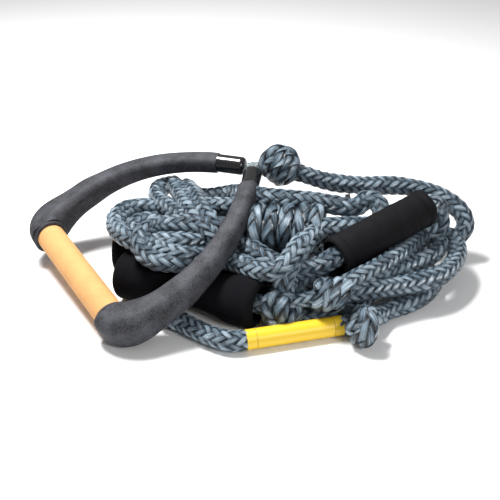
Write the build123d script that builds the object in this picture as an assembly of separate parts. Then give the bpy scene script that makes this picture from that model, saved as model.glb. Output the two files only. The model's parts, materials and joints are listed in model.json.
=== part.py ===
from build123d import *
import os
from math import cos, pi, radians, sin, tan

# Nine-inch surf tow handle with its braided tow rope coiled beside it.
# Millimetres, +Z up, the floor at z = 0. The origin is under the middle of the handle.

# ---- driving dimensions ----
ROPE_D = 19.0                 # tow rope, hollow braid
BRIDLE_D = 9.6                # thin rope inside the handle
BRIDLE_BORE_D = 10.4
BUNDLE = Vector(89.6, 1.5, 0.0)   # middle of the coiled rope, from the handle's middle

GRIP_HALF = 81.0              # half the length of the grip sleeve
GRIP_D = 28.5
BAR_D = 22.0
BAR_WALL = 2.4
BAR_HALF = 90.0
COLLAR_W = 3.6
COLLAR_D = 35.4
CAP_D = 19.6
CAP_L = 30.4

BAR_CENTRE = Vector(-167.6, -23.2, 25.4) + BUNDLE
BAR_YAW = 122.2               # degrees, the bar's direction on the floor
BAR_ROLL = 4.3                # degrees, the far corner sits higher
HANDLE_PITCH = 19.3           # degrees, the arms rise towards the throat

# Each arm follows two Bezier curves, the elbow's and the bowed arm's: x along the bar, y to the throat.
ELBOW_LINE = [(81, 0, 0), (98.5, 0, 0), (102.5, 18, 1.2), (104.1, 34, 2.6)]
ARM_LINE = [(97, 0, 0), (120.8, 79.5, 4.5), (92.5, 141, 20), (5.0, 207.7, 0)]
ARM_FROM = 0.15               # where the arm's curve takes over from the elbow's
ARM_TO = 0.895                # where the cap begins
ELBOW_WIDTHS = [35.4, 36.6, 36.8, 34.4, 30.6]
ARM_WIDTHS = [28.0, 25.6, 23.6, 22.2, 21.2, 20.4, 19.8, 19.2]
SQUARENESS = 0.34             # corner radius of an arm's section over its width

KNOT_CENTRE = Vector(31, 79, 96) + BUNDLE
KNOT_R = 23.0
HANDLE_SWING = 95.0           # degrees that the handle lifts about the throat knot

FLOAT_L = 146.0
FLOAT_END_R = 24.5
FLOAT_WAIST_R = 18.2
FLOAT_BORE_D = 21.0
FLOAT_DISH = 12.0
FLOAT_MOUTH_R = 17.0           # radius of the dish at a float's end
STOPPER_R = 11.0              # knot seated in a float's dish
SLEEVE_L = 118.0
SLEEVE_D = 38.0
SLEEVE_COVER = 2.4
SLEEVE_BORE_D = 21.0
CLEAR = 0.8

LABEL_D = 18.8                # warning tube shrunk on the rope
LABEL_ROPE_D = 17.0           # the rope squeezed inside it
LABEL_L = 92.0
LABEL_BAND = 9.0


def lay(points):
    """Points given from the middle of the rope bundle, moved into the part's frame."""
    return [Vector(p) + BUNDLE for p in points]


def unit(v):
    return v / v.length


# ---- the handle's own frame: x along the bar, y from the bar to the throat ----
bar_dir = Vector(cos(radians(BAR_YAW)) * cos(radians(BAR_ROLL)),
                 sin(radians(BAR_YAW)) * cos(radians(BAR_ROLL)), sin(radians(BAR_ROLL)))
level = Vector(sin(radians(BAR_YAW)), -cos(radians(BAR_YAW)), 0)
upright = level.cross(bar_dir)
upright = unit(upright if upright.Z > 0 else upright * -1)
level = unit(bar_dir.cross(upright))
level = level if level.X > 0 else level * -1
throat_dir = level * cos(radians(HANDLE_PITCH)) + upright * sin(radians(HANDLE_PITCH))
handle_normal = upright * cos(radians(HANDLE_PITCH)) - level * sin(radians(HANDLE_PITCH))
# x runs towards the far corner, y towards the throat, so z has to be taken as their product
handle_up = 1 if bar_dir.cross(throat_dir).dot(handle_normal) > 0 else -1
handle = Plane(origin=BAR_CENTRE, x_dir=bar_dir, z_dir=bar_dir.cross(throat_dir))


def in_handle(shape):
    return handle.location * shape


def rod(start, end, radius):
    """A straight round rod between two points."""
    axis = end - start
    plane = Plane(origin=start, z_dir=axis)
    return extrude(plane * Circle(radius), amount=axis.length)


def bent_wire(points, name=None):
    """Straight runs joined by the largest tangent arcs that both runs allow."""
    radii = []
    for before, here, after in zip(points, points[1:], points[2:]):
        turn = radians((here - before).get_angle(after - here))
        short = min((here - before).length, (after - here).length)
        radii.append(0.45 * short / tan(turn / 2))
    if name:
        print(name, "bend radii", [round(r) for r in radii])
    return FilletPolyline(*points, radius=radii)


def tube(points, diameter, name):
    path = bent_wire(points, name)
    start = Plane(origin=path @ 0, z_dir=path % 0)
    body = sweep(start * Circle(diameter / 2), path=path)
    ideal = pi * diameter ** 2 / 4 * path.length
    print(name, "length", round(path.length), "volume ratio", round(body.volume / ideal, 3))
    return body


def biggest(shape):
    return max(shape.solids(), key=lambda s: s.volume)


def write(shape, node):
    export_step(shape, f"parts/{node}.step")


os.makedirs("parts", exist_ok=True)

# ---- handle: bar, grip, collars, plugs ----
along_bar = Plane(origin=(0, 0, 0), x_dir=(0, 1, 0), z_dir=(1, 0, 0))


def bar_ring(start, length, outer, inner):
    """A ring round the bar's axis, from x = start."""
    ring = Circle(outer / 2) - Circle(inner / 2)
    return extrude(along_bar.offset(start) * ring, amount=length)


bar_tube = bar_ring(-BAR_HALF, 2 * BAR_HALF, BAR_D, BAR_D - 2 * BAR_WALL)
grip_sleeve = bar_ring(-GRIP_HALF, 2 * GRIP_HALF, GRIP_D, BAR_D + 0.1)
collar = bar_ring(GRIP_HALF - COLLAR_W, COLLAR_W, COLLAR_D, GRIP_D + 0.1)
collar = fillet(collar.edges().filter_by(GeomType.CIRCLE).sort_by(SortBy.RADIUS)[-2:], 1.4)
collars = [collar, mirror(collar, about=Plane.YZ)]
plug = bar_ring(BAR_HALF - 14, 8, BAR_D - 2 * BAR_WALL - 0.1, BRIDLE_BORE_D)
plugs = [plug, mirror(plug, about=Plane.YZ)]
write(in_handle(bar_tube), "bar_tube")
write(in_handle(grip_sleeve), "grip_sleeve")
write(Compound([in_handle(c) for c in collars]), "grip_end_collars")
write(Compound([in_handle(p) for p in plugs]), "bar_end_plugs")


# ---- handle: moulded arms, end caps and the bridle rope through them ----
def bezier(controls, t):
    """A point of a cubic Bezier curve and its direction there."""
    p0, p1, p2, p3 = [Vector(c) for c in controls]
    s = 1 - t
    point = p0 * s ** 3 + p1 * (3 * s * s * t) + p2 * (3 * s * t * t) + p3 * t ** 3
    slope = (p1 - p0) * (s * s) + (p2 - p1) * (2 * s * t) + (p3 - p2) * (t * t)
    return point, unit(slope)


def sided(v, side):
    """A vector of the far arm, mirrored for the near one, in the handle's plane."""
    return Vector(side * v.X, v.Y, v.Z * handle_up)


def arm_stations():
    """Points, directions and widths along the far arm, from the collar to the cap."""
    last = len(ELBOW_WIDTHS) - 1
    rows = [(*bezier(ELBOW_LINE, i / last), w) for i, w in enumerate(ELBOW_WIDTHS)]
    step = (ARM_TO - ARM_FROM) / len(ARM_WIDTHS)
    return rows + [(*bezier(ARM_LINE, ARM_FROM + (i + 1) * step), w) for i, w in enumerate(ARM_WIDTHS)]


def arm_body(side):
    """One foam arm: rounded-square sections lofted along its bowed line."""
    sections = []
    for point, ahead, width in arm_stations():
        ahead = sided(ahead, side)
        plane = Plane(origin=sided(point, side), x_dir=ahead.cross(Vector(0, 0, 1)), z_dir=ahead)
        sections.append(plane * RectangleRounded(width, width * 0.97, width * SQUARENESS))
    return loft(sections)


cap_root, cap_dir = bezier(ARM_LINE, ARM_TO)
arm_tip = Vector(ARM_LINE[-1])
cap_dir = unit(arm_tip - cap_root)


def bridle_points(side):
    """The rope's line in one half of the handle, from the bar's end to the cap's mouth."""
    inner = [Vector(91, 0, 0), Vector(102, 18, 1.2), bezier(ARM_LINE, 0.28)[0]]
    outer = [bezier(ARM_LINE, t)[0] for t in (0.5, 0.72)] + [cap_root, cap_root + cap_dir * CAP_L]
    return [sided(p, side) for p in inner + outer]


knot_local = handle.to_local_coords(KNOT_CENTRE)
bridle_line = list(reversed(bridle_points(1))) + bridle_points(-1)
bore = tube(bridle_line, BRIDLE_BORE_D, "bridle_bore")
bridle = tube(bridle_line, BRIDLE_D, "bridle_rope")
cap_cuts = []
cap_rooms = []
for side, where in ((1, "far"), (-1, "near")):
    socket = extrude(along_bar.offset(GRIP_HALF - 1) * Circle(BAR_D / 2 + 0.05), amount=BAR_HALF - GRIP_HALF + 1.2)
    socket = socket if side > 0 else mirror(socket, about=Plane.YZ)
    root = sided(cap_root, side)
    mouth = root + sided(cap_dir, side) * CAP_L
    cap = rod(root, mouth, CAP_D / 2)
    cap = fillet(cap.edges().filter_by(GeomType.CIRCLE).sort_by(lambda e: e.distance_to(mouth))[0], 5)
    arm = arm_body(side) - socket - bore - rod(root, mouth, CAP_D / 2 + 2)
    cap_cuts.append(rod(root, mouth, CAP_D / 2 + 0.3))
    cap_rooms.append(rod(root - sided(cap_dir, side) * 14, mouth, CAP_D / 2 + 2))
    write(in_handle(biggest(arm)), f"arm_{where}")
    write(in_handle(biggest(cap - bore)), f"cap_{where}")

# ---- throat knot, against the mouths of both caps ----
knot = Pos(knot_local) * Sphere(KNOT_R)
for cut in cap_cuts + [bridle]:
    knot = knot - cut
knot = biggest(knot)
write(in_handle(bridle), "bridle_rope")
write(in_handle(knot), "throat_knot")


# ---- floats and the black sleeve, each turned about its own axis ----
def turned(outline, start, direction):
    """A solid of revolution whose axis starts at a point and runs along a direction."""
    plane = Plane(origin=start, x_dir=Vector(0, 0, 1), z_dir=Vector(0, 0, 1).cross(direction))
    return plane.location * outline


def float_solid(extra=0.0, bore_d=FLOAT_BORE_D):
    """A dog-bone float along +Y of its sketch, dished at both ends; extra grows it for a clearance."""
    half = FLOAT_L / 2
    top = FLOAT_END_R + extra
    waist = FLOAT_WAIST_R + extra
    rim = 19.0 + extra
    profile = [(0, -half - extra), (rim, -half - extra)]
    line = Polyline(*profile)
    shoulder = Spline((rim, -half - extra), (top - 0.8, -half + 5), (top, -half + 12), (waist, 0),
                      (top, half - 12), (top - 0.8, half - 5), (rim, half + extra))
    end = Polyline((rim, half + extra), (0, half + extra), (0, -half - extra))
    body = revolve(make_face([line, shoulder, end]), axis=Axis.Y)
    if bore_d:
        body = body - Rot(90, 0, 0) * Cylinder(bore_d / 2, FLOAT_L * 2)
        for sign in (1, -1):
            dish = Cone(FLOAT_BORE_D / 2, FLOAT_MOUTH_R, FLOAT_DISH)
            spot = Pos(0, sign * (half - FLOAT_DISH / 2), 0)
            body = body - spot * Rot(-90 * sign, 0, 0) * dish
    return body


def placed(shape, middle, direction):
    """Moves a solid that lies along +Y so that it lies along a direction about a middle point."""
    side = Vector(0, 0, 1).cross(direction)
    plane = Plane(origin=middle, x_dir=side, z_dir=side.cross(unit(direction)))
    return plane.location * shape


FLOAT_FRONT = [Vector(-126.0, -19.0, 24.6) + BUNDLE, Vector(9.0, -74.6, 24.6) + BUNDLE]
FLOAT_REAR = [Vector(-139.5, 27.5, 24.6) + BUNDLE, Vector(6.0, 16.5, 24.6) + BUNDLE]
SLEEVE_ENDS = [Vector(80.6, -39.3, 55) + BUNDLE, Vector(176, 25.8, 75) + BUNDLE]


def middle_and_direction(ends):
    return (ends[0] + ends[1]) / 2, unit(ends[1] - ends[0])


float_blocks = []
for where, ends in (("front", FLOAT_FRONT), ("rear", FLOAT_REAR)):
    middle, direction = middle_and_direction(ends)
    write(placed(float_solid(), middle, direction), f"float_{where}")
    float_blocks.append(placed(float_solid(CLEAR, 0), middle, direction))

sleeve_mid, sleeve_dir = middle_and_direction(SLEEVE_ENDS)
sleeve_turn = Rot(90, 0, 0)
cover = Cylinder(SLEEVE_D / 2, SLEEVE_L)
cover = fillet(cover.edges().filter_by(GeomType.CIRCLE), 5.5)
inside = Cylinder(SLEEVE_D / 2 - SLEEVE_COVER, SLEEVE_L - 6)
mouth = Cylinder(SLEEVE_BORE_D / 2 + 3, SLEEVE_L + 2)
cover = cover - inside - mouth
core = Cylinder(SLEEVE_D / 2 - SLEEVE_COVER, SLEEVE_L - 6) - Cylinder(SLEEVE_BORE_D / 2, SLEEVE_L)
sleeve_block = Cylinder(SLEEVE_D / 2 + CLEAR, SLEEVE_L + 2 * CLEAR)
write(placed(sleeve_turn * cover, sleeve_mid, sleeve_dir), "sleeve_cover")
write(placed(sleeve_turn * core, sleeve_mid, sleeve_dir), "sleeve_core")
sleeve_block = placed(sleeve_turn * sleeve_block, sleeve_mid, sleeve_dir)


# ---- the hank: one closed solid of the wound rope's outer shape ----
def block(low, high, soft):
    low, high = lay([low, high])
    size = high - low
    box = Pos((low + high) / 2) * Box(size.X, size.Y, size.Z)
    return fillet(box.edges(), soft)


hank = block((-145, -8, 40), (58, 68, 69), 9)
hank += block((-114, -58, 40), (58, 10, 69), 9)
hank += block((-108, 46, 0.3), (206, 97, 60), 12)
hank += block((14, -16, 0.3), (182, 60, 50), 12)
hank += block((-8, -30, 10), (100, 62, 86), 14)
for solid in float_blocks + [sleeve_block]:
    hank = hank - solid


def swing_room(side):
    """The space one arm sweeps when the handle lifts about the throat knot."""
    line = [sided(point, side) for point, ahead, width in arm_stations()[3:]]
    line.append(sided(arm_tip, side))
    band = trace(Polyline(*[Vector(p.X, p.Y, 0) for p in line]), line_width=31)
    band = Pos(0, 0, knot_local.Z) * band
    axis = Axis((0, knot_local.Y, knot_local.Z), (1, 0, 0))
    return revolve(band, axis=axis, revolution_arc=-handle_up * (HANDLE_SWING + 5))


for side in (1, -1):
    hank = hank - in_handle(swing_room(side))
for room in cap_rooms:
    hank = hank - in_handle(room)
knot_room = in_handle(Pos(knot_local) * Sphere(KNOT_R + 0.6))
hank = hank - knot_room

# ---- rope outside the hank ----
ROPE_R = ROPE_D / 2
TOP_RUN = [(49, 80, 89), (85, 80, 76), (120, 81, 72.5), (156, 80, 74), (188, 76, 70), (210, 70, 61),
           (225, 61, 51), (230, 55, 38), (222, 52, 25), (206, 54, 16), (188, 60, 15)]
RING = [(46, -72, 9.6), (78, -67, 9.6), (100, -63, 11), (116, -59, 20), (132, -56, 28), (150, -52, 30.5),
        (168, -44, 31.5), (190, -24, 30), (204, -4, 31), (206, 16, 32), (195, 31, 36), (177, 34, 38),
        (161, 22, 38)]
LEG_UPPER = [(86, -80, 46), (104, -62, 47), (124, -44, 46), (146, -25, 43), (172, -4, 38)]
LEG_LOWER = [(86, -68, 33), (104, -48, 33), (124, -34, 29), (150, -20, 24), (170, -4, 22)]
FRONT_RUN = [(-86, -71, 9.6), (-66, -79, 9.6), (-46, -97, 9.6), (-20.5, -113.75, 9.6), (-4, -109.5, 9.6)]
FLOOR_RUN = [(106, -95, 18), (118, -80, 11), (131, -68, 9.6), (153, -58, 9.6), (173, -44, 9.6),
             (180, -24, 9.6), (178, -6, 9.6)]
SLEEVE_RUN = [(46, -38, 44), (66, -49.3, 51.9), (184, 31.3, 76.7), (199, 42, 66), (198, 50, 48), (188, 58, 34)]
LABEL_ENDS = lay([(-4, -109.5, 9.6), (87, -86, 9.6)])
GRIP_KNOT = Vector(28, -73.5, 22) + BUNDLE
BARREL_KNOT = Vector(73.5, -77, 37) + BUNDLE
END_KNOT = Vector(103.5, -103, 21) + BUNDLE
TIE_AT = Vector(101, 42, 54) + BUNDLE


def outside(shape, *others):
    for other in others:
        shape = shape - other
    return biggest(shape)


grip_knot = outside(Pos(GRIP_KNOT) * Sphere(19.5), *float_blocks)
end_knot = Pos(END_KNOT) * Sphere(20)
barrel_turn = Rot(0, 90, 12)
barrel = Cylinder(16.5, 38)
barrel = fillet(barrel.edges().filter_by(GeomType.CIRCLE), 10)
barrel_knot = Pos(BARREL_KNOT) * barrel_turn * barrel

# the tie: a strap round the hank's right-hand strands, and its lock
tie_plane = Plane(origin=TIE_AT, x_dir=(0, 1, 0), z_dir=(1, 0, 0.1))
loop_out = RectangleRounded(44, 44, 14)
tie_band = extrude(tie_plane * (loop_out - RectangleRounded(41.4, 41.4, 12.7)), amount=4.6)
tie_head = tie_plane * (Pos(-20, -17, 2.3) * Box(5, 8, 6.4))
tie_head = fillet(tie_head.edges(), 0.8)
tie_band = biggest(tie_band - tie_head)
hank = biggest(hank - tie_band - tie_head - sleeve_block)
write(hank, "rope_hank")
write(tie_band, "tie_strap")
write(tie_head, "tie_lock")

knots_and_hank = [hank, grip_knot, barrel_knot, end_knot]
runs = {"rope_top_run": TOP_RUN, "rope_ring": RING, "rope_leg_upper": LEG_UPPER, "rope_leg_lower": LEG_LOWER,
        "rope_front_run": FRONT_RUN, "rope_floor_run": FLOOR_RUN, "rope_in_sleeve": SLEEVE_RUN}
made = {}
for name, points in runs.items():
    run = tube(lay(points), ROPE_D, name)
    above = [made["rope_leg_upper"]] if name == "rope_leg_lower" else []
    made[name] = outside(run, knot_room, tie_band, tie_head, *above, *knots_and_hank)
    write(made[name], name)

# the rope straight through each float, with a stopper knot in its dished end
for where, ends in (("front", FLOAT_FRONT), ("rear", FLOAT_REAR)):
    middle, direction = middle_and_direction(ends)
    seat = middle - direction * (FLOAT_L / 2 - 3)
    stopper = Pos(seat) * Sphere(STOPPER_R)
    straight = rod(seat, middle + direction * (FLOAT_L / 2 + 20), ROPE_D / 2)
    write(outside(straight, stopper, hank, grip_knot), f"rope_in_float_{where}")
    write(stopper, f"stopper_knot_{where}")

# the neck of rope between the grip knot and the barrel knot
neck_run = rod(GRIP_KNOT + Vector(0, 3, 4), BARREL_KNOT, 6.3)
write(outside(neck_run, grip_knot, barrel_knot), "rope_neck")
write(grip_knot, "grip_knot")
write(barrel_knot, "barrel_knot")
write(end_knot, "end_knot")

# the warning tube: a printed middle and two plain bands, with the squeezed rope inside
label_dir = unit(LABEL_ENDS[1] - LABEL_ENDS[0])
label_start = LABEL_ENDS[0]
label_end = label_start + label_dir * LABEL_L


def label_piece(start, length):
    low = label_start + label_dir * start
    high = low + label_dir * length
    return rod(low, high, LABEL_D / 2) - rod(low, high, LABEL_ROPE_D / 2 + 0.05)


write(label_piece(LABEL_BAND + 0.4, LABEL_L - 2 * LABEL_BAND - 0.8), "label_tube")
write(Compound([label_piece(0, LABEL_BAND), label_piece(LABEL_L - LABEL_BAND, LABEL_BAND)]), "label_end_bands")
write(outside(rod(label_start, label_end + label_dir * 8, LABEL_ROPE_D / 2), end_knot), "rope_in_label")
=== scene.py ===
import json
import math
import random

import bmesh
import bpy
import numpy as np
from mathutils import Matrix, Vector, noise


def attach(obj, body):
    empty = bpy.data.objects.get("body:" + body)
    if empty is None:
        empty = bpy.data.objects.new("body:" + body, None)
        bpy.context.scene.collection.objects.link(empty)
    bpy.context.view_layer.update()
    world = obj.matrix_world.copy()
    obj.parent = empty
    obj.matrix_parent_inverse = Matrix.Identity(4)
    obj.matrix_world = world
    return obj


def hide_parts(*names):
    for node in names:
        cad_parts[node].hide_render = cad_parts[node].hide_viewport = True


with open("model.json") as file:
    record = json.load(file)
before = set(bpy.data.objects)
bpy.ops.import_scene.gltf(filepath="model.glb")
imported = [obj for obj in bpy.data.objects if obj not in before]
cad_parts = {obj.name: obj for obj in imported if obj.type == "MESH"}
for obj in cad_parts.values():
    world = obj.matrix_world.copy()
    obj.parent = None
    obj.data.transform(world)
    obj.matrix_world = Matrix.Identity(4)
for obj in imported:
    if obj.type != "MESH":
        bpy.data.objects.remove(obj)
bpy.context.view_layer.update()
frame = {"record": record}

random.seed(7)

MM = 0.001
BUNDLE = Vector((0.0896, 0.0015, 0.0))      # middle of the coiled rope in the part's frame

ROPE_R = 0.0095
BRAID_PITCH = 0.074                          # one full turn of a braid strand
STRANDS = 16
KNOT_STRANDS = 8                             # a pulled-tight rope shows fewer, longer strands

CAMERA_EYE = (0, -692.82, 440)               # millimetres from the middle of the coil
CAMERA_AIM = (0, 0, 40)
CAMERA_LENS = 57.6
LAMP_AIM = Vector((0.08, 0, 0.03))


def at(x, y, z):
    """A point given in millimetres from the middle of the coiled rope, in metres in the part's frame."""
    return Vector((x * MM, y * MM, z * MM)) + BUNDLE


# ---------------------------------------------------------------- camera
def look(eye, target, lens):
    data = bpy.data.cameras.new("camera")
    data.lens = lens
    data.sensor_width = 36
    camera = bpy.data.objects.new("camera", data)
    camera.location = eye
    camera.rotation_euler = (target - eye).to_track_quat("-Z", "Y").to_euler()
    bpy.context.collection.objects.link(camera)
    bpy.context.scene.camera = camera


look(at(*CAMERA_EYE), at(*CAMERA_AIM), CAMERA_LENS)


# ---------------------------------------------------------------- node maths
class Value:
    """A socket whose arithmetic adds Math nodes."""

    def __init__(self, shader, socket):
        self.shader = shader
        self.socket = socket

    def _math(self, operation, a, b):
        return self.shader.node("ShaderNodeMath", "Value", {"operation": operation}, {0: a, 1: b})

    def __add__(self, other):
        return self._math("ADD", self, other)

    __radd__ = __add__

    def __mul__(self, other):
        return self._math("MULTIPLY", self, other)

    __rmul__ = __mul__


class Shader:
    """One material and the nodes that feed its Principled shader."""

    def __init__(self, name, **constants):
        self.material = bpy.data.materials.new(name)
        self.material.use_nodes = True
        self.tree = self.material.node_tree
        self.surface = self.tree.nodes["Principled BSDF"]
        for socket, value in constants.items():
            self.surface.inputs[socket.replace("_", " ")].default_value = value

    def node(self, kind, output, settings=None, inputs=None):
        made = self.tree.nodes.new(kind)
        for key, value in (settings or {}).items():
            if key == "stops":
                ramp = made.color_ramp
                while len(ramp.elements) < len(value):
                    ramp.elements.new(0.5)
                for element, (position, colour) in zip(ramp.elements, value):
                    element.position = position
                    element.color = (*colour, 1)
            else:
                setattr(made, key, value)
        for key, value in (inputs or {}).items():
            self.put(made.inputs[key], value)
        return Value(self, made.outputs[output])

    def put(self, socket, value):
        if isinstance(value, Value):
            self.tree.links.new(value.socket, socket)
        else:
            socket.default_value = value

    def feed(self, name, value):
        self.put(self.surface.inputs[name], value)

    def place(self, kind="Object", scale=(1, 1, 1)):
        coordinates = self.node("ShaderNodeTexCoord", kind)
        return self.node("ShaderNodeMapping", "Vector", {}, {"Vector": coordinates, "Scale": scale})

    def noise(self, where, scale, detail=2.0, roughness=0.5):
        settings = {"noise_dimensions": "3D"}
        inputs = {"Vector": where, "Scale": scale, "Detail": detail, "Roughness": roughness}
        return self.node("ShaderNodeTexNoise", "Fac", settings, inputs)

    def ramp(self, value, stops):
        return self.node("ShaderNodeValToRGB", "Color", {"stops": stops}, {"Fac": value})

    def bump(self, height, strength, distance):
        inputs = {"Height": height, "Strength": strength, "Distance": distance}
        self.feed("Normal", self.node("ShaderNodeBump", "Normal", {}, inputs))


def rope_shader(name, dark, middle, bright, roughness):
    """Satin filaments that run along each strand; the strand's own UV map carries them."""
    s = Shader(name, Specular_IOR_Level=0.85)
    streak = s.noise(s.place("UV", (70, 9, 1)), 1.0, 2.0, 0.6)
    hair = s.noise(s.place("UV", (110, 22, 1)), 1.0, 2.0, 0.6)
    # the tone attribute holds each strand's random tone plus painted light and shade: lighter where a strand
    # lies on top, darker at its edges and where it dips under
    tone = s.node("ShaderNodeAttribute", "Fac", {"attribute_name": "tone"})
    mixed = streak * 0.42 + hair * 0.3 + tone * 0.4
    s.feed("Base Color", s.ramp(mixed, [(0.42, dark), (0.58, middle), (0.78, bright)]))
    s.feed("Roughness", roughness + hair * 0.3)
    s.bump(streak * 0.5 + hair, 1.0, 0.002)
    return s.material


ROPE = rope_shader("rope_braid", (0.006, 0.012, 0.020), (0.062, 0.104, 0.142), (0.42, 0.53, 0.62), 0.14)
BRIDLE = rope_shader("bridle_braid", (0.16, 0.2, 0.22), (0.42, 0.49, 0.52), (0.72, 0.78, 0.8), 0.35)


def plain_shader(name, colour, roughness, **constants):
    """One even colour, for a smooth moulded or metal piece."""
    return Shader(name, Base_Color=(*colour, 1), Roughness=roughness, **constants).material


# a near-black finish for the inside of ropes and knots: painted shade where light does not reach
SHADOW = plain_shader("rope_inside_painted_shade", (0.006, 0.009, 0.012), 0.8, Specular_IOR_Level=0.1)


# ---------------------------------------------------------------- lines and braids
def route_curve(name, points):
    """An open NURBS spline guided by control points."""
    curve = bpy.data.curves.new(name, "CURVE")
    curve.dimensions = "3D"
    curve.resolution_u = 24
    spline = curve.splines.new("NURBS")
    spline.points.add(len(points) - 1)
    for control, p in zip(spline.points, points):
        control.co = (*p, 1)
    spline.order_u = 3
    spline.use_endpoint_u = True
    return curve


def followed(name, points):
    """Points read from the route's spline, close together."""
    curve = route_curve(name, points)
    holder = bpy.data.objects.new(name, curve)
    mesh = bpy.data.meshes.new_from_object(holder)
    line = np.array([v.co[:] for v in mesh.vertices])
    bpy.data.objects.remove(holder)
    bpy.data.meshes.remove(mesh)
    return line


def evenly(line, step):
    gaps = np.linalg.norm(np.diff(line, axis=0), axis=1)
    along = np.concatenate([[0], np.cumsum(gaps)])
    count = max(2, int(round(along[-1] / step)) + 1)
    want = np.linspace(0, along[-1], count)
    return np.stack([np.interp(want, along, line[:, k]) for k in range(3)], axis=1), want


def frames(line):
    """Directions along a line with two normals carried along it without twist."""
    ahead = np.gradient(line, axis=0)
    ahead /= np.linalg.norm(ahead, axis=1)[:, None]
    first = np.cross(ahead[0], (0.0, 0.0, 1.0))
    if np.linalg.norm(first) < 0.1:
        first = np.cross(ahead[0], (1.0, 0.0, 0.0))
    normal = [first / np.linalg.norm(first)]
    for t in ahead[1:]:
        n = normal[-1] - t * np.dot(normal[-1], t)
        normal.append(n / np.linalg.norm(n))
    normal = np.array(normal)
    return ahead, normal, np.cross(ahead, normal)


def grid_faces(rows, columns, offset):
    """Quads of a tube of rows rings, each of columns corners."""
    r = np.arange(rows - 1)[:, None] * columns
    c = np.arange(columns)[None, :]
    n = (c + 1) % columns
    quads = np.stack([r + c, r + n, r + columns + n, r + columns + c], axis=-1)
    return quads.reshape(-1, 4) + offset


def mesh_of(name, verts, quads, uv, tone, kinds, materials):
    mesh = bpy.data.meshes.new(name)
    mesh.vertices.add(len(verts))
    mesh.vertices.foreach_set("co", verts.astype(np.float32).ravel())
    mesh.loops.add(len(quads) * 4)
    mesh.loops.foreach_set("vertex_index", quads.astype(np.int32).ravel())
    mesh.polygons.add(len(quads))
    mesh.polygons.foreach_set("loop_start", np.arange(0, len(quads) * 4, 4, dtype=np.int32))
    mesh.polygons.foreach_set("loop_total", np.full(len(quads), 4, dtype=np.int32))
    mesh.polygons.foreach_set("material_index", kinds.astype(np.int32))
    mesh.polygons.foreach_set("use_smooth", np.ones(len(quads), dtype=bool))
    layer = mesh.uv_layers.new(name="fibre")
    layer.data.foreach_set("uv", uv[quads.ravel()].astype(np.float32).ravel())
    # the tone attribute carries the strands' random tone together with painted light and shade
    attribute = mesh.attributes.new("tone", "FLOAT", "POINT")
    attribute.data.foreach_set("value", tone.astype(np.float32))
    for material in materials:
        mesh.materials.append(material)
    mesh.update()
    mesh.validate()
    thing = bpy.data.objects.new(name, mesh)
    bpy.context.collection.objects.link(thing)
    return thing


# a strand's cross-section: share of its half width across, share of its thickness outwards
SECTION = [(1, -0.1), (0.66, 0.72), (0, 1), (-0.66, 0.72), (-1, -0.1), (0, -0.9)]
SECTION_V = [0.0, 0.22, 0.45, 0.68, 0.9, 1.2]
SECTION_PAINTED_SHADE = [-0.42, 0.0, 0.1, 0.0, -0.42, -0.6]      # painted shade: a strand is darker at its edges and underside, where the crevices between strands lie in shade
STRAND_CIRCLE = 0.88                         # the circle that strands lie on, of the rope's radius
STRAND_THICK = 0.135                         # of the rope's radius
STRAND_OVERLAP = 1.03
STRAND_SINK = 1.35                           # how deep a strand's middle lies, in strand thicknesses
STRAND_LIFT = 0.85                           # how far it rises over and dips under
CORE_SINK = 2.7                              # the painted-shade core, a near-black tube, in strand thicknesses below the surface
CORE_SIDES = 14
END_ROUND = 0.8                              # length of a run's rounded end, of the rope's radius
NARROWING = 0.006                            # length over which a squeezed stretch draws in
OVER_PAINTED_LIGHT = 0.22                             # painted light and shade: a strand on top is lighter than one below, which lies in its shade


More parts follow.
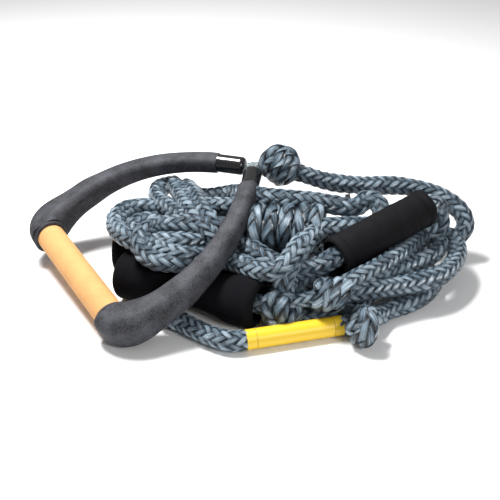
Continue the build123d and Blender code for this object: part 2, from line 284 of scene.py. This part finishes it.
def braid(name, points, radius=ROPE_R, strands=STRANDS, pitch=BRAID_PITCH, step=0.0018, narrow=(),
          material=None):
    """A hollow braid along a route: half of the strands wind each way, two over and two under."""
    line, along = evenly(followed(name, points), step)
    ahead, normal, side = frames(line)
    length = along[-1]
    half = strands // 2
    girth = 2 * math.pi * radius * STRAND_CIRCLE
    wide = girth / half * math.cos(math.atan(girth / pitch)) * STRAND_OVERLAP
    thick = radius * STRAND_THICK
    # the width varies a little along the rope, in a slow wave and a quicker one
    swell = 1 + 0.035 * np.sin(along * 61 + radius * 900) + 0.03 * np.sin(along * 103 + len(line))
    for start, stop, factor in narrow:
        inside = 0.5 * (np.tanh((along - start) / NARROWING) - np.tanh((along - stop) / NARROWING))
        swell *= 1 + (factor - 1) * inside
    end = np.minimum(along, length - along) / (radius * END_ROUND)
    swell *= np.sqrt(np.clip(1 - (1 - np.clip(end, 0, 1)) ** 2, 0.02, 1))
    verts, quads, uvs, tones_and_shade, kinds = [], [], [], [], []
    offset = 0
    turn = 2 * math.pi * along / pitch
    for k in range(strands):
        way = 1 if k < half else -1
        index = k % half
        angle = way * turn + 2 * math.pi * index / half
        crossing = strands * along / pitch
        over = way * np.cos(2 * math.pi * (way * crossing + 2 * index - 0.5) / 4)
        shade = random.uniform(0.3, 0.7)
        drift = random.uniform(0, 6)
        # and each strand pulls tight and slack in its own time
        slack = 1 + 0.16 * np.sin(along * 190 + drift) * np.sin(along * 47 + 2 * drift)
        depth = radius - thick * STRAND_SINK + over * thick * STRAND_LIFT
        out = np.cos(angle)[:, None] * normal + np.sin(angle)[:, None] * side
        centre = line + out * (depth * swell)[:, None]
        run = np.gradient(centre, axis=0)
        run /= np.linalg.norm(run, axis=1)[:, None] + 1e-12
        across = np.cross(out, run)
        across /= np.linalg.norm(across, axis=1)[:, None] + 1e-12
        ring = [centre + across * (a * wide / 2 * swell * slack)[:, None] + out * (b * thick * slack)[:, None]
                for a, b in SECTION]
        verts.append(np.stack(ring, axis=1).reshape(-1, 3))
        columns = len(SECTION)
        faces = grid_faces(len(line), columns, offset)
        quads.append(faces)
        lengthwise = along * math.hypot(1, 2 * math.pi * radius / pitch)
        u = np.repeat(lengthwise + random.random() * 3, columns)
        v = np.tile(np.array(SECTION_V), len(line)) + k * 1.37
        uvs.append(np.stack([u, v], axis=1))
        # each strand's random tone, plus painted light on top of a crossing and painted shade under it and at
        # its edges
        tones_and_shade.append(np.repeat(shade + over * OVER_PAINTED_LIGHT, columns) + np.tile(SECTION_PAINTED_SHADE, len(line)))
        kinds.append(np.zeros(len(faces)))
        offset += len(line) * columns
    # a near-black core tube under the strands: painted shade, so the gaps between strands show dark
    sides = CORE_SIDES
    round_angles = np.linspace(0, 2 * math.pi, sides, endpoint=False)
    rows = np.arange(0, len(line), 2)
    if rows[-1] != len(line) - 1:
        rows = np.append(rows, len(line) - 1)
    core = [line[rows] + (math.cos(a) * normal[rows] + math.sin(a) * side[rows])
            * ((radius - CORE_SINK * thick) * swell[rows])[:, None] for a in round_angles]
    verts.append(np.stack(core, axis=1).reshape(-1, 3))
    faces = grid_faces(len(rows), sides, offset)
    quads.append(faces)
    uvs.append(np.zeros((len(rows) * sides, 2)))
    tones_and_shade.append(np.zeros(len(rows) * sides))
    kinds.append(np.ones(len(faces)))
    made = mesh_of(name, np.concatenate(verts), np.concatenate(quads), np.concatenate(uvs),
                   np.concatenate(tones_and_shade), np.concatenate(kinds), [material or ROPE, SHADOW])
    return made, line, length


# ---------------------------------------------------------------- the rope's runs
def route(*points):
    return [at(*p) for p in points]


RUNS = {
    "top_rope": route(
        (38, 79.5, 93), (58, 80, 86), (85, 80, 76.5), (120, 81, 72.5), (156, 80, 74), (188, 76, 70),
        (210, 70, 61),
        (225, 61, 51), (230, 55, 38), (222, 52, 25), (206, 54, 16), (188, 60, 13), (160, 72, 12),
        (120, 80, 11), (80, 82, 11), (40, 83, 11), (0, 82, 12), (-40, 80, 14), (-66, 78, 22),
        (-72, 72, 36), (-56, 66, 46), (-16, 62, 48), (30, 60, 46), (60, 56, 44)),
    "left_loop_rope": route(
        (60, 50, 58), (20, 54, 60), (-30, 57, 60), (-70, 56, 61), (-94, 54, 60), (-106, 53, 62),
        (-118, 51, 62), (-130, 46, 61), (-137, 34, 60), (-136, 15, 59), (-127, -3, 59), (-116, -15, 60),
        (-101, -21, 61), (-84, -26, 64), (-67, -29, 65), (-50, -20, 60), (-35, -6, 52), (-22, -4, 50),
        (-10, -12, 54), (1, -28, 58), (12, -44, 59), (21, -52, 57), (34, -54, 53), (48, -53, 51),
        (66, -49.3, 51.9), (80.6, -39.3, 55), (128, -6.7, 65), (176, 25.8, 75), (184, 31.3, 76.7),
        (197, 42, 66), (198, 50, 48), (188, 58, 34), (166, 60, 30), (130, 56, 32)),
    "hitch_rope": route(
        (60, 30, 54), (30, 24, 56), (0, 14, 60), (-20, 4, 64), (-35, -2, 68), (-50, -8, 72), (-68, -8, 74),
        (-88, -7, 72), (-100, -15, 71), (-106, -27, 66), (-101, -38, 60), (-92, -47, 57), (-80, -51, 56),
        (-62, -50, 55), (-44, -44, 52)),
    "crossing_rope": route(
        (-92, -22, 57), (-85, -34, 61), (-70, -47, 62), (-58, -49, 61), (-47, -41, 56), (-33, -30, 48),
        (-20, -30, 46), (-9, -44, 50), (4, -58, 52), (15, -66, 55), (25, -70, 58), (33, -65, 63),
        (40, -56, 68), (46, -44, 70), (50, -30, 66), (50, -14, 58), (46, 2, 52)),
    "cross_over_rope": route(
        (71, 6, 61), (66, -11, 69), (57, -29, 71), (48, -43, 69), (40, -56, 62), (33, -66, 54), (30, -70, 45),
        (34, -66, 36), (44, -56, 32), (58, -46, 34)),
    "shelf_rope": route(
        (20, 0, 58), (42, -12, 64), (58, -14, 70), (74, -10, 72), (90, -6, 70), (106, 2, 66), (120, 14, 60),
        (134, 28, 54)),
    "fan_rope": route(
        (10, 10, 48), (-14, -2, 50), (-34, -10, 58), (-50, -4, 68), (-64, 10, 70), (-82, 35, 69),
        (-94, 57, 67), (-100, 78, 65), (-98, 96, 63), (-94, 106, 60), (-86, 107, 62), (-82, 98, 66),
        (-76, 72, 72), (-62, 25, 76), (-47, -9, 74), (-34, -22, 62), (-20, -22, 50), (0, -14, 48),
        (24, -10, 48)),
    "back_rope": route(
        (30, 0, 50), (4, -10, 50), (-16, -12, 54), (-32, -10, 66), (-41, 0, 75), (-51, 32, 77), (-63, 72, 72),
        (-70, 98, 63), (-68, 106, 54), (-58, 98, 52), (-46, 88, 56), (-32, 84, 60), (-14, 74, 68),
        (-4, 52, 78), (4, 34, 84), (18, 25, 86), (34, 22, 87), (52, 20, 86), (70, 18, 84), (90, 18, 80),
        (104, 20, 76), (112, 28, 77), (118, 35, 80), (128, 33, 79), (133, 22, 72), (130, 12, 62),
        (118, 10, 54), (96, 14, 48), (70, 20, 44)),
    "ring_rope": route(
        (84, -72, 35), (97, -69, 35), (112, -64, 34), (128, -57, 32), (146, -50, 30.5), (164, -45, 31),
        (184, -35, 31.5), (200, -18, 32), (210, 4, 33), (212, 24, 35), (204, 38, 38), (188, 36, 41),
        (172, 20, 44), (154, -8, 46), (136, -30, 47), (118, -50, 47.5), (100, -64, 47), (84, -74, 43)),
    "under_rope": route(
        (44, -66, 9.8), (66, -68, 9.8), (86, -66, 9.8), (102, -58, 9.8), (112, -44, 10), (112, -28, 12),
        (98, -18, 20), (74, -18, 28), (50, -28, 32), (30, -38, 34), (10, -42, 34), (-10, -36, 32)),
    "low_rope": route(
        (-6, -30, 12), (20, -40, 12), (46, -44, 12), (72, -42, 14), (92, -34, 22), (110, -24, 32),
        (128, -8, 40), (140, 12, 42), (140, 32, 38)),
    "inner_leg_rope": route(
        (82, -72, 40), (104, -58, 40), (124, -44, 38), (146, -27, 35), (165, -15, 34), (182, -3, 36),
        (194, 14, 38), (193, 30, 37), (180, 36, 33), (160, 34, 29), (130, 34, 27), (90, 36, 26)),
    "front_rope": route(
        (-86, -71, 9.8), (-66, -79, 9.8), (-46, -97, 9.8), (-20.5, -112.8, 9.8), (-4, -109.5, 9.8),
        (20, -103.3, 9.8), (64, -92, 9.8), (87, -86, 10.5), (96, -88, 14)),
    "floor_rope": route(
        (108, -88, 18), (119, -74, 11), (133, -61, 9.8), (150, -52, 9.8), (165, -41, 9.8), (177, -28, 9.8),
        (184, -14, 9.8), (184, 4, 10), (174, 22, 12), (150, 34, 14), (110, 44, 14), (60, 54, 14),
        (20, 62, 14)),
    "inner_loop_rope": route(
        (-40, 40, 50), (-70, 41, 51), (-98, 39, 53), (-114, 34, 54), (-120, 22, 53), (-112, 8, 53),
        (-94, -2, 53),
        (-72, -8, 51), (-50, -8, 50)),
    "mid_rope": route(
        (176, 76, 40), (192, 70, 50), (196, 60, 60), (194, 46, 62), (197, 34, 56), (190, 26, 46),
        (168, 30, 42),
        (140, 36, 42)),
    "float_front_rope": route(
        (-118, -22.3, 24.6), (-92, -33, 24.6), (-46, -52, 24.6), (0, -71, 24.6), (16, -77, 25), (32, -77, 28),
        (48, -78, 31), (62, -77, 35), (76, -76, 38)),
    "float_rear_rope": route(
        (-132, 26.9, 24.6), (-100, 24.5, 24.6), (-52, 20.8, 24.6), (-6, 17.4, 24.6), (20, 14, 25),
        (40, 8, 28)),
}

pieces = {}
NARROW = {                                   # from, to along the run, and the share of its width kept
    "front_rope": [(0.091, 0.2, 0.82)],
    "float_front_rope": [(0.146, 0.3, 0.68)],
}
for name, points in RUNS.items():
    made, line, length = braid(name, points, narrow=NARROW.get(name, ()))
    pieces[name] = (made, line, length)
    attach(made, "rope")


# ---------------------------------------------------------------- knots
RIGHT = Vector((1, 0, 0))
FRONT = Vector((0, -0.866, 0.5))
UP = Vector((0, 0.5, 0.866))
KNOT_HEART = 0.78                            # of a knot's size


def knot(name, node, centre, size, moves, radius=0.0064, body="rope"):
    """A tied knot: one small braid whose way is given by moves to the right, up and towards the front,
    each a share of the knot's size."""
    points = [centre + (RIGHT * r + UP * u + FRONT * f) * size for r, u, f in moves]
    made, line, length = braid(name, points, radius=radius, strands=KNOT_STRANDS, pitch=BRAID_PITCH * 0.8,
                               step=0.0016)
    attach(made, body)
    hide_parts(node)
    pieces[name] = (made, line, length)
    knot_heart(name + "_heart", centre, size * KNOT_HEART, body)


def knot_heart(name, centre, radius, body):
    """The rope buried in the middle of a knot, as a near-black ball of painted shade through which no light
    passes.
    """
    bm = bmesh.new()
    bmesh.ops.create_icosphere(bm, subdivisions=3, radius=radius, matrix=Matrix.Translation(centre))
    mesh = bpy.data.meshes.new(name)
    bm.to_mesh(mesh)
    bm.free()
    mesh.materials.append(SHADOW)
    heart = bpy.data.objects.new(name, mesh)
    bpy.context.collection.objects.link(heart)
    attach(heart, body)


def barrel_turns(turns, half_length, slant):
    """Moves of a rope wound round a level axis."""
    moves = []
    steps = int(turns * 7)
    for i in range(steps + 1):
        a = 2 * math.pi * i / 7 + 0.4
        r = (2 * i / steps - 1) * half_length
        moves.append((r + slant * math.sin(a), math.sin(a), math.cos(a)))
    return moves


THROAT_MOVES = [
    (-0.2, 0.1, -0.8), (-0.8, -0.5, -0.2), (-1.0, 0.1, 0.25), (-0.7, 0.72, 0.35), (0.0, 1.0, 0.35),
    (0.7, 0.75, 0.3), (1.0, 0.1, 0.25), (0.75, -0.65, 0.1), (0.1, -0.9, -0.4), (-0.5, -0.4, -0.8),
    (-0.75, -0.1, 0.1), (-0.5, 0.0, 0.85), (-0.05, 0.4, 0.95), (0.3, 0.75, 0.5), (0.45, 0.5, -0.5),
    (0.1, -0.3, -0.9), (-0.4, -0.7, -0.2), (-0.45, -0.55, 0.6), (0.0, -0.1, 1.0), (0.45, 0.35, 0.85),
    (0.75, 0.4, 0.0), (0.6, -0.2, -0.7), (0.0, -0.8, -0.5), (-0.1, -0.95, 0.25), (0.3, -0.5, 0.85),
    (0.8, -0.1, 0.7), (1.0, 0.2, -0.1), (0.7, 0.1, -0.7)]
GRIP_MOVES = [
    (0.2, -0.2, -0.8), (-0.3, 0.4, -0.5), (0.0, 0.75, 0.2), (0.15, 0.45, 0.85), (-0.05, -0.1, 1.05),
    (-0.1, -0.5, 0.8), (0.2, -0.7, 0.1), (0.6, -0.3, -0.3), (0.85, 0.3, 0.0), (0.55, 0.85, 0.35),
    (-0.15, 1.05, 0.4), (-0.8, 0.7, 0.4), (-1.05, 0.0, 0.35), (-0.85, -0.7, 0.35), (-0.2, -1.1, 0.4),
    (0.55, -0.95, 0.45), (1.0, -0.4, 0.4), (1.05, 0.25, 0.2), (1.1, 0.6, -0.1)]
END_MOVES = [
    (-1.2, -0.2, 0.1), (-0.6, -0.1, 0.5), (-0.15, 0.35, 0.8), (0.25, 0.85, 0.5), (0.5, 0.95, -0.2),
    (0.4, 0.3, -0.8), (0.2, -0.5, -0.8), (0.1, -1.05, -0.2), (0.15, -1.0, 0.5), (0.45, -0.4, 0.95),
    (0.5, 0.35, 0.85), (0.3, 0.95, 0.3), (0.0, 0.95, -0.4), (-0.35, 0.4, -0.7), (-0.5, -0.4, -0.5),
    (-0.45, -0.8, 0.1), (-0.2, -0.55, 0.75), (0.1, 0.0, 1.0), (0.35, 0.45, 0.5), (0.8, 0.5, -0.1),
    (1.2, 0.45, -0.5)]

knot("throat_knot_tied", "throat_knot", at(31, 79, 96), 0.0168, THROAT_MOVES, body="handle")
knot("grip_knot_tied", "grip_knot", at(29, -77, 22), 0.0138, GRIP_MOVES, 0.0062)
knot("barrel_knot_tied", "barrel_knot", at(73.5, -77, 37), 0.0108, barrel_turns(3.4, 1.2, 0.35), 0.0062)
knot("end_knot_tied", "end_knot", at(102, -102, 20), 0.0132, END_MOVES, 0.0062)
STOPPERS = (("front", -120.5, -21.3), ("rear", -133.5, 27))
for where, x, y in STOPPERS:
    knot(f"stopper_{where}_tied", f"stopper_knot_{where}", at(x, y, 24.6), 0.006,
         barrel_turns(2.5, 0.8, 0.3), 0.0045)

BINDING_R = 0.0066
BINDING_X = (3, 17.5, 32, 46.5, 61)
binding = []
for x in BINDING_X:
    binding += [(x + 3, 20, 54), (x + 2, 2, 46), (x, -13, 51), (x - 1, -19, 63), (x + 1, -15, 76),
                (x + 4, 0, 84), (x + 8, 16, 78), (x + 10, 22, 66)]
RUNS["binding_rope"] = route(*binding)
made, line, length = braid("binding_rope", RUNS["binding_rope"], radius=BINDING_R, strands=KNOT_STRANDS)
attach(made, "rope")
pieces["binding_rope"] = (made, line, length)

neck, *_ = braid("bridle_neck",
                 route((-4, 81.2, 94), (3, 79.5, 95.5), (10, 78, 96.5), (18, 78, 96.5), (28, 79, 96)),
                 radius=0.0052, pitch=0.034, step=0.0014, material=BRIDLE)
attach(neck, "handle")


# ---------------------------------------------------------------- floats and sleeve
FLOAT_HALF = 73 * MM
FLOAT_END_R = 24.3 * MM
FLOAT_WAIST_R = 17.4 * MM
FLOAT_ROUND = 7 * MM                         # rounding of a float's rim
FLOAT_WAIST_HALF = 14 * MM                   # half the length of a float's even waist
FLOAT_FLARE = 40 * MM                        # length over which it swells to the lobes
FLOAT_MOUTH_R = 17 * MM
FLOAT_DISH = 12 * MM
BORE_R = 11.8 * MM                           # open enough for the braid to turn in
CREASED_FROM = 16.6 * MM                     # only the outside is creased, so a piece turns freely
SLEEVE_HALF = 59 * MM
SLEEVE_R = 18.8 * MM
SLEEVE_ROUND = 3 * MM
SLEEVE_LINING_R = 16.4 * MM
SLEEVE_TURN_IN = 5 * MM                      # cloth folded into each end
HEM = 10 * MM                                # from the sleeve's end to the hem's stitched crease
OUTLINE_STEP = 1.5 * MM
SPIN_STEPS = 72
CREASES_ROUND = 55                           # creases per metre across and along: longer round the piece
CREASES_ALONG = 190


def rim(edge, rounding):
    """How far a rounded rim has drawn in, at a distance from the piece's end."""
    short = max(0.0, rounding - edge)
    return rounding - math.sqrt(max(0.0, rounding ** 2 - short ** 2))


def float_radius(along):
    swell = min(1.0, max(0.0, (abs(along) - FLOAT_WAIST_HALF) / FLOAT_FLARE))
    swell = swell * swell * (3 - 2 * swell)
    return FLOAT_WAIST_R + (FLOAT_END_R - FLOAT_WAIST_R) * swell - rim(FLOAT_HALF - abs(along), FLOAT_ROUND)


def sleeve_radius(along):
    edge = SLEEVE_HALF - abs(along)
    crease = 1.1 * MM * math.exp(-((edge - HEM) / (1.5 * MM)) ** 2)
    roll = 0.7 * MM * math.exp(-((edge - HEM / 2) / (3 * MM)) ** 2)
    return SLEEVE_R - crease + roll - rim(edge, SLEEVE_ROUND)


def outer_line(half, radius):
    """Points of an outline from one end to the other, closer together at the ends."""
    count = int(2 * half / OUTLINE_STEP)
    places = [-half * math.cos(math.pi * i / count) for i in range(count + 1)]
    return [(z, radius(z)) for z in places]


def turned(name, ends, outline, creases, body, nodes):
    """A bored soft piece: a closed outline of (along, radius) turned about the line between two points,
    then creased. The cloth's own creases run round it."""
    bm = bmesh.new()
    corners = [bm.verts.new((radius, 0, z)) for z, radius in outline]
    edges = [bm.edges.new((a, b)) for a, b in zip(corners, corners[1:] + corners[:1])]
    bmesh.ops.spin(bm, geom=corners + edges, cent=(0, 0, 0), axis=(0, 0, 1), dvec=(0, 0, 0),
                   angle=2 * math.pi, steps=SPIN_STEPS, use_merge=True, use_duplicate=False)
    bmesh.ops.remove_doubles(bm, verts=bm.verts, dist=1e-6)
    bmesh.ops.recalc_face_normals(bm, faces=bm.faces)
    for v in bm.verts:
        radius = math.hypot(v.co.x, v.co.y)
        if radius > CREASED_FROM:
            where = Vector((v.co.x * CREASES_ROUND, v.co.y * CREASES_ROUND, v.co.z * CREASES_ALONG))
            v.co += Vector((v.co.x, v.co.y, 0)) / radius * noise.noise(where) * creases
    start, stop = (at(*end) for end in ends)
    turn = (stop - start).to_track_quat("Z", "Y").to_matrix().to_4x4()
    bmesh.ops.transform(bm, matrix=Matrix.Translation((start + stop) / 2) @ turn, verts=bm.verts)
    for face in bm.faces:
        face.smooth = True
    mesh = bpy.data.meshes.new(name)
    bm.to_mesh(mesh)
    bm.free()
    piece = bpy.data.objects.new(name, mesh)
    bpy.context.collection.objects.link(piece)
    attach(piece, body)
    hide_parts(*nodes)
    return piece


float_outline = outer_line(FLOAT_HALF, float_radius) + [
    (FLOAT_HALF - 1 * MM, FLOAT_MOUTH_R - 0.6 * MM), (FLOAT_HALF - FLOAT_DISH, BORE_R),
    (FLOAT_DISH - FLOAT_HALF, BORE_R), (1 * MM - FLOAT_HALF, FLOAT_MOUTH_R - 0.6 * MM)]
sleeve_outline = outer_line(SLEEVE_HALF, sleeve_radius) + [
    (SLEEVE_HALF - SLEEVE_TURN_IN, SLEEVE_LINING_R - 1 * MM), (SLEEVE_HALF - SLEEVE_TURN_IN, SLEEVE_LINING_R),
    (SLEEVE_TURN_IN - SLEEVE_HALF, SLEEVE_LINING_R), (SLEEVE_TURN_IN - SLEEVE_HALF, SLEEVE_LINING_R - 1 * MM)]
core_half = SLEEVE_HALF - SLEEVE_TURN_IN - 0.5 * MM
core_outline = [(-core_half, BORE_R), (-core_half, SLEEVE_LINING_R - 0.6 * MM),
                (core_half, SLEEVE_LINING_R - 0.6 * MM), (core_half, BORE_R)]
FLOAT_FRONT_ENDS = ((-126, -19, 24.6), (9, -74.6, 24.6))
FLOAT_REAR_ENDS = ((-139.5, 27.5, 24.6), (6, 16.5, 24.6))
SLEEVE_ENDS = ((80.6, -39.3, 55), (176, 25.8, 75))
soft_pieces = [
    turned("front_float_foam", FLOAT_FRONT_ENDS, float_outline, 0.25 * MM, "front_float",
           ["float_front"]),
    turned("rear_float_foam", FLOAT_REAR_ENDS, float_outline, 0.25 * MM, "rear_float",
           ["float_rear"]),
    turned("sleeve_cloth", SLEEVE_ENDS, sleeve_outline, 0.8 * MM, "sleeve",
           ["sleeve_cover"]),
    turned("sleeve_lining", SLEEVE_ENDS, core_outline, 0, "sleeve", ["sleeve_core"]),
]


# ---------------------------------------------------------------- floor and light
def floor():
    bm = bmesh.new()
    bmesh.ops.create_grid(bm, x_segments=1, y_segments=1, size=3.0)
    mesh = bpy.data.meshes.new("floor")
    bm.to_mesh(mesh)
    thing = bpy.data.objects.new("floor", mesh)
    bpy.context.collection.objects.link(thing)
    mesh.materials.append(plain_shader("floor_paper", (0.86, 0.86, 0.86), 0.9, Specular_IOR_Level=0.1))


def lamp(name, where, size, power):
    data = bpy.data.lights.new(name, "AREA")
    data.shape = "RECTANGLE"
    data.size, data.size_y = size
    data.energy = power
    thing = bpy.data.objects.new(name, data)
    thing.location = where
    thing.rotation_euler = (LAMP_AIM - Vector(where)).to_track_quat("-Z", "Y").to_euler()
    bpy.context.collection.objects.link(thing)


floor()
lamp("key", (-0.3, 0.25, 1.2), (0.42, 0.3), 31)
lamp("front", (0.8, -1.1, 0.9), (0.4, 0.3), 8)
world = bpy.data.worlds.new("studio")
world.use_nodes = True
world.node_tree.nodes["Background"].inputs["Color"].default_value = (1, 1, 1, 1)
world.node_tree.nodes["Background"].inputs["Strength"].default_value = 0.34
bpy.context.scene.world = world
bpy.context.scene.view_settings.view_transform = "Standard"


# ---------------------------------------------------------------- finishes on the solid parts
def foam_shader(name, colour, speck, roughness, grain, shine=0.15):
    s = Shader(name, Specular_IOR_Level=shine)
    where = s.place("Object")
    cloud = s.noise(where, 60.0, 3.0, 0.6)
    fine = s.noise(where, grain, 2.0, 0.7)
    tone = cloud * 0.45 + fine * 0.55
    dark = tuple(c * (1 - speck) for c in colour)
    light = tuple(min(1, c * (1 + speck)) for c in colour)
    s.feed("Base Color", s.ramp(tone, [(0.38, dark), (0.5, colour), (0.62, light)]))
    s.feed("Roughness", roughness + fine * 0.15)
    s.bump(fine, 0.35, 0.0004)
    return s.material


finishes = {
    "arm_foam": foam_shader("arm_foam", (0.036, 0.037, 0.044), 0.75, 0.6, 800.0, 0.3),
    "grip_foam": foam_shader("grip_foam", (0.62, 0.33, 0.13), 0.1, 0.6, 1200.0),
    "float_foam": foam_shader("float_foam", (0.004, 0.004, 0.0055), 0.3, 0.85, 1500.0, 0.1),
    "sleeve_cover": foam_shader("sleeve_cloth", (0.005, 0.005, 0.006), 0.3, 0.7, 1800.0, 0.12),
    "sleeve_core": foam_shader("sleeve_foam", (0.012, 0.012, 0.014), 0.3, 0.85, 900.0, 0.1),
    "label": plain_shader("label_vinyl", (0.76, 0.5, 0.02), 0.4),
    "cap": plain_shader("cap_gloss", (0.008, 0.008, 0.009), 0.2, Coat_Weight=0.3, Coat_Roughness=0.12),
    "bar": plain_shader("bar_metal", (0.6, 0.61, 0.63), 0.3, Metallic=1.0),
    "plug": plain_shader("plug_plastic", (0.02, 0.02, 0.02), 0.5),
    "tie_black": plain_shader("tie_black", (0.012, 0.012, 0.012), 0.4),
    "tie_pale": plain_shader("tie_pale", (0.6, 0.62, 0.64), 0.45),
    "bridle": BRIDLE,
    "rope": ROPE,
}
slots = {row["node"]: row["material_slot"] for row in frame["record"]["subparts"]}
for node, slot in slots.items():
    thing = bpy.data.objects[node]
    thing.data.materials.clear()
    thing.data.materials.append(finishes[slot])

for piece, finish in zip(soft_pieces, ("float_foam", "float_foam", "sleeve_cover", "sleeve_core")):
    piece.data.materials.append(finishes[finish])

replaced = {
    "top_rope": ["rope_top_run", "rope_hank"],
    "left_loop_rope": ["rope_in_sleeve"],
    "ring_rope": ["rope_leg_upper"],
    "under_rope": ["rope_ring"],
    "inner_leg_rope": ["rope_leg_lower"],
    "front_rope": ["rope_front_run", "rope_in_label"],
    "floor_rope": ["rope_floor_run"],
    "float_front_rope": ["rope_in_float_front", "rope_neck"],
    "float_rear_rope": ["rope_in_float_rear"],
}
for name, nodes in replaced.items():
    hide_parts(*nodes)

for name, points in RUNS.items():
    made, line, length = pieces[name]
    thick = 2 * (BINDING_R if name == "binding_rope" else ROPE_R)
